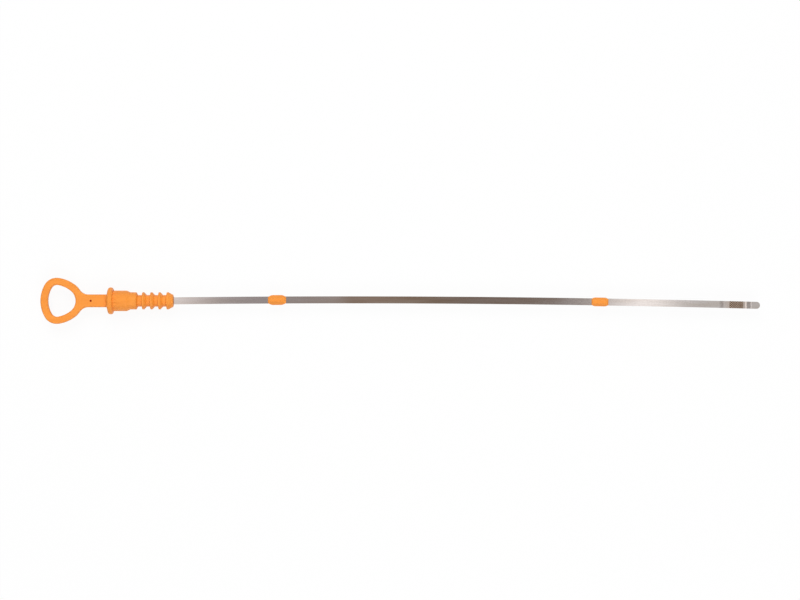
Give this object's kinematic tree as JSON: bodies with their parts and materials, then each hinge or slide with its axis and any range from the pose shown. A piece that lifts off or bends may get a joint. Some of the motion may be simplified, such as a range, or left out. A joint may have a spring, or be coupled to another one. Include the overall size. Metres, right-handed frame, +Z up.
{
  "type": "engine oil dipstick",
  "caption": "Engine oil dipstick: flat steel blade with a crosshatched reading zone, guide beads, and a moulded pull loop with a barbed tube plug.",
  "frame": {"origin": "on the plug's axis at its seating shoulder, where the barrel's taper ends and the plug begins", "axes": "+X along the plug's axis towards the blade's tip, +Z up from the blade's broad face, pull loop flat in the XY plane"},
  "size_m": [0.5138, 0.033, 0.0192],
  "materials": {
    "orange_plastic": "satin moulded orange plastic",
    "blade_steel": "rolled spring steel, lightly brushed along its length"
  },
  "bodies": {
    "root": {"handle": "orange_plastic", "blade": "blade_steel", "upper_guide_bead": "orange_plastic", "lower_guide_bead": "orange_plastic"}
  },
  "joints": []
}
